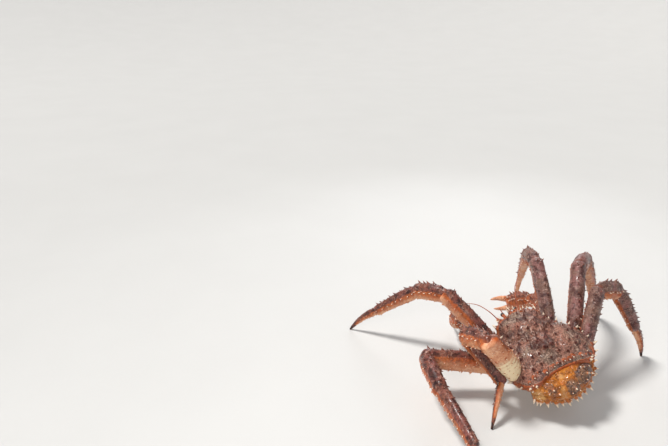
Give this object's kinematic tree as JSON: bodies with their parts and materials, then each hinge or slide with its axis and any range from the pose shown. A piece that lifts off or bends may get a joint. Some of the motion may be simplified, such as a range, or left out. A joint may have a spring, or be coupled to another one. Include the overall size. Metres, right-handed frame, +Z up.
{
  "type": "red king crab",
  "caption": "Life-size still model of a live red king crab standing with its left rear side low: spiny shell, abdomen folded under, jointed walking legs and claws",
  "frame": {"origin": "middle of the bounding box's footprint, on the floor that the feet stand on", "axes": "+Z up; the crab faces -Y, with its left side at +X"},
  "size_m": [0.548, 0.4828, 0.21],
  "materials": {
    "shell": "wet grey-purple-brown shell, mottled with pale scuffs, spines with dark red-brown tips and cream tips on the rim",
    "belly": "cream-white chitin with orange seams",
    "abdomen": "yellow-orange plates with purple-grey bosses and white-tipped spines",
    "leg": "dark purple-brown above, orange to cream below, wet",
    "claw": "orange hand with cream fingers",
    "feeler": "orange-red",
    "eye": "glossy near-black"
  },
  "bodies": {
    "root": {"abdomen_fifth": "abdomen", "abdomen_fourth": "abdomen", "abdomen_second": "abdomen", "abdomen_tail": "abdomen", "abdomen_third": "abdomen", "antenna_left": "feeler", "antenna_right": "feeler", "antennule_left": "feeler", "antennule_right": "feeler", "carapace": "shell", "claw_left_arm": "leg", "claw_left_fixed_finger": "claw", "claw_left_hand": "claw", "claw_left_hip": "leg", "claw_left_moving_finger": "claw", "claw_left_wrist": "leg", "claw_right_arm": "leg", "claw_right_fixed_finger": "claw", "claw_right_hand": "claw", "claw_right_hip": "leg", "claw_right_moving_finger": "claw", "claw_right_wrist": "leg", "eye_left": "eye", "eye_right": "eye", "eyestalk_left": "feeler", "eyestalk_right": "feeler", "leg_left_front_hip": "leg", "leg_left_front_knee": "leg", "leg_left_front_shin": "leg", "leg_left_front_thigh": "leg", "leg_left_front_tip": "leg", "leg_left_middle_hip": "leg", "leg_left_middle_knee": "leg", "leg_left_middle_shin": "leg", "leg_left_middle_thigh": "leg", "leg_left_middle_tip": "leg", "leg_left_rear_hip": "leg", "leg_left_rear_knee": "leg", "leg_left_rear_shin": "leg", "leg_left_rear_thigh": "leg", "leg_left_rear_tip": "leg", "leg_right_front_hip": "leg", "leg_right_front_knee": "leg", "leg_right_front_shin": "leg", "leg_right_front_thigh": "leg", "leg_right_front_tip": "leg", "leg_right_middle_hip": "leg", "leg_right_middle_knee": "leg", "leg_right_middle_shin": "leg", "leg_right_middle_thigh": "leg", "leg_right_middle_tip": "leg", "leg_right_rear_hip": "leg", "leg_right_rear_knee": "leg", "leg_right_rear_shin": "leg", "leg_right_rear_thigh": "leg", "leg_right_rear_tip": "leg", "mouth_limb_left": "feeler", "mouth_limb_right": "feeler", "thorax": "belly"}
  },
  "joints": []
}
